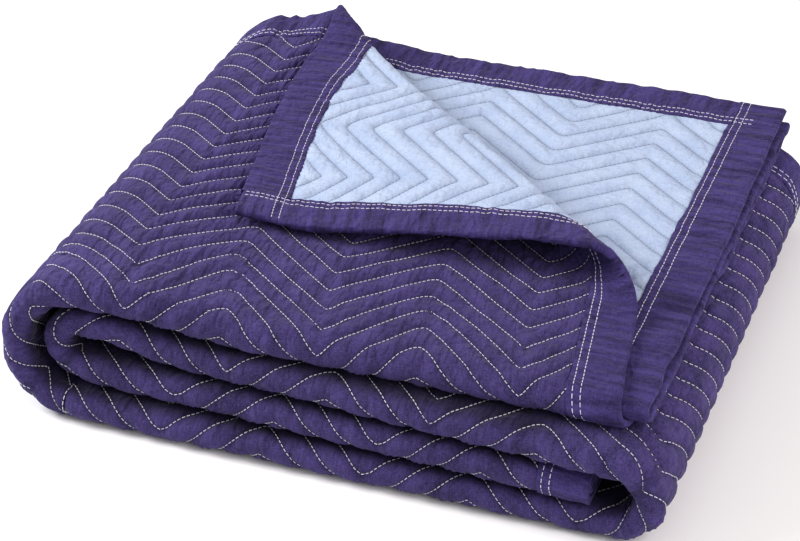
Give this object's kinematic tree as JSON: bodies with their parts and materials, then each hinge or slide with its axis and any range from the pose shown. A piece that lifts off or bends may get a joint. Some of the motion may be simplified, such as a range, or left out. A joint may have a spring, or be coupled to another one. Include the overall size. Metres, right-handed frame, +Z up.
{
  "type": "moving blanket",
  "caption": "Quilted furniture-moving blanket folded into a thick rectangular pile, one corner of the top layer turned back over the lining.",
  "frame": {"origin": "centre of the pile's bounding box, on the surface it lies on", "axes": "+X along the long side of the pile, towards the end that lies open on top; +Y from the rounded front fold to the open back edges; +Z up"},
  "size_m": [0.546, 0.4912, 0.1452],
  "materials": {
    "face_cloth": "matt quilted cotton blend",
    "lining_cloth": "matt quilted cotton blend",
    "binding_tape": "matt woven tape"
  },
  "bodies": {
    "root": {"face_panel": "face_cloth", "lining_panel": "lining_cloth", "outer_end_binding": "binding_tape", "inner_end_binding": "binding_tape", "top_side_binding": "binding_tape", "under_side_binding": "binding_tape"}
  },
  "joints": []
}
